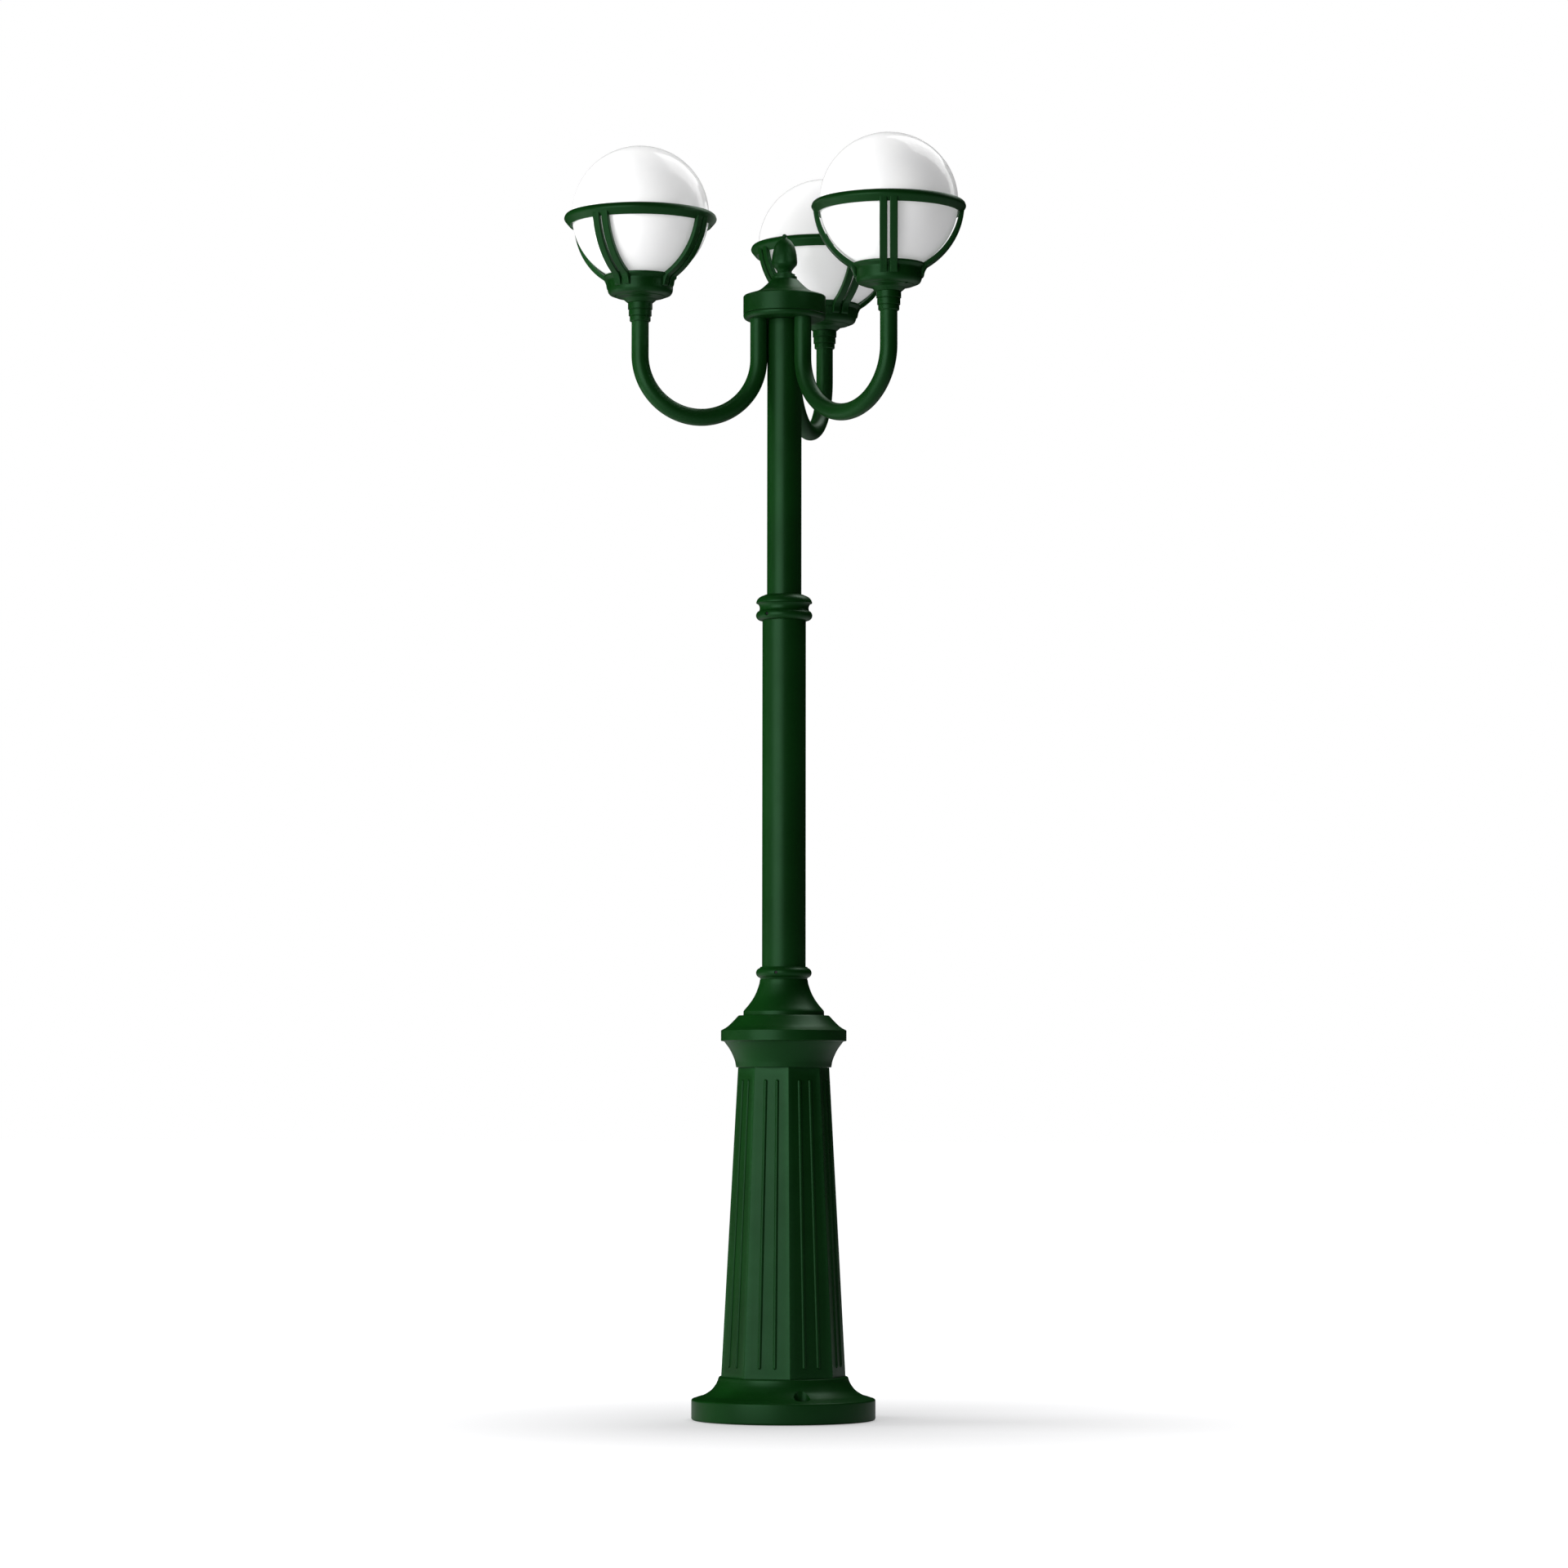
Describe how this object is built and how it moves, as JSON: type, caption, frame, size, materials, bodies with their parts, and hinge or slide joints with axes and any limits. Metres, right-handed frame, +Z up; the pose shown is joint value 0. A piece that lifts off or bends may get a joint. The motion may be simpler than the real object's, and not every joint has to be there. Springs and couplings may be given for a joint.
{
  "type": "street lamp post",
  "caption": "Free-standing street lamp post: a reeded, tapered pedestal and stepped tube column, with swan-neck arms carrying caged opal globes.",
  "frame": {"origin": "post axis at ground level, on the underside of the base plate", "axes": "+Z up along the post; +Y along arm 1, with arms 2 and 3 at 120 degree steps anticlockwise seen from above"},
  "size_m": [0.7468, 0.6841, 2.3127],
  "materials": {
    "green_casting": "satin powder coat, dark green",
    "green_tube": "satin powder coat, dark green",
    "opal_acrylic": "gloss, opal white",
    "zinc_steel": "hot-dip galvanised",
    "screw_steel": "satin",
    "black_rubber": "matte",
    "grey_nylon": "matte",
    "black_pvc": "matte",
    "white_ceramic": "gloss",
    "frosted_glass": "frosted"
  },
  "bodies": {
    "post": {"base_plate": "zinc_steel", "cable_grommet": "black_rubber", "foot_casting": "green_casting", "pedestal_casting": "green_casting", "capital_casting": "green_casting", "base_collar": "green_casting", "base_collar_screw_1": "screw_steel", "base_collar_screw_2": "screw_steel", "base_collar_screw_3": "screw_steel", "lower_tube": "green_tube", "reducing_collar": "green_casting", "reducing_collar_screw_1": "screw_steel", "reducing_collar_screw_2": "screw_steel", "reducing_collar_screw_3": "screw_steel", "centring_ring": "grey_nylon", "upper_tube": "green_tube", "hub_body": "green_casting", "cover_stud": "screw_steel", "terminal_block": "grey_nylon", "riser_cable": "black_pvc", "arm_1": "green_tube", "arm_lead_1": "black_pvc", "neck_sleeve_1": "green_casting", "lamp_cage_1": "green_casting", "globe_gasket_1": "black_rubber", "lamp_holder_1": "white_ceramic", "arm_2": "green_tube", "arm_lead_2": "black_pvc", "neck_sleeve_2": "green_casting", "lamp_cage_2": "green_casting", "globe_gasket_2": "black_rubber", "lamp_holder_2": "white_ceramic", "arm_3": "green_tube", "arm_lead_3": "black_pvc", "neck_sleeve_3": "green_casting", "lamp_cage_3": "green_casting", "globe_gasket_3": "black_rubber", "lamp_holder_3": "white_ceramic"},
    "cover": {"hub_cover": "green_casting", "finial_seat": "green_casting"},
    "finial": {"finial": "green_casting"},
    "bulb_1": {"bulb_1": "frosted_glass"},
    "globe_1": {"globe_1": "opal_acrylic"},
    "bulb_2": {"bulb_2": "frosted_glass"},
    "globe_2": {"globe_2": "opal_acrylic"},
    "bulb_3": {"bulb_3": "frosted_glass"},
    "globe_3": {"globe_3": "opal_acrylic"}
  },
  "joints": [
    {"name": "cover_lift", "type": "slide", "parent": "post", "child": "cover", "axis": [0, 0, 1], "range_m": [0, 0.12]},
    {"name": "finial_turn", "type": "hinge", "parent": "cover", "child": "finial", "pos_m": [0, 0, 2.1], "axis": [0, 0, 1], "continuous": true},
    {"name": "globe_lift_1", "type": "slide", "parent": "post", "child": "globe_1", "axis": [0, 0, 1], "range_m": [0, 0.25]},
    {"name": "bulb_turn_1", "type": "hinge", "parent": "post", "child": "bulb_1", "pos_m": [0, 0.27056, 2.08], "axis": [0, 0, 1], "range_deg": [0, 1080]},
    {"name": "globe_lift_2", "type": "slide", "parent": "post", "child": "globe_2", "axis": [0, 0, 1], "range_m": [0, 0.25]},
    {"name": "bulb_turn_2", "type": "hinge", "parent": "post", "child": "bulb_2", "pos_m": [-0.23431, -0.13528, 2.08], "axis": [0, 0, 1], "range_deg": [0, 1080]},
    {"name": "globe_lift_3", "type": "slide", "parent": "post", "child": "globe_3", "axis": [0, 0, 1], "range_m": [0, 0.25]},
    {"name": "bulb_turn_3", "type": "hinge", "parent": "post", "child": "bulb_3", "pos_m": [0.23431, -0.13528, 2.08], "axis": [0, 0, 1], "range_deg": [0, 1080]}
  ]
}
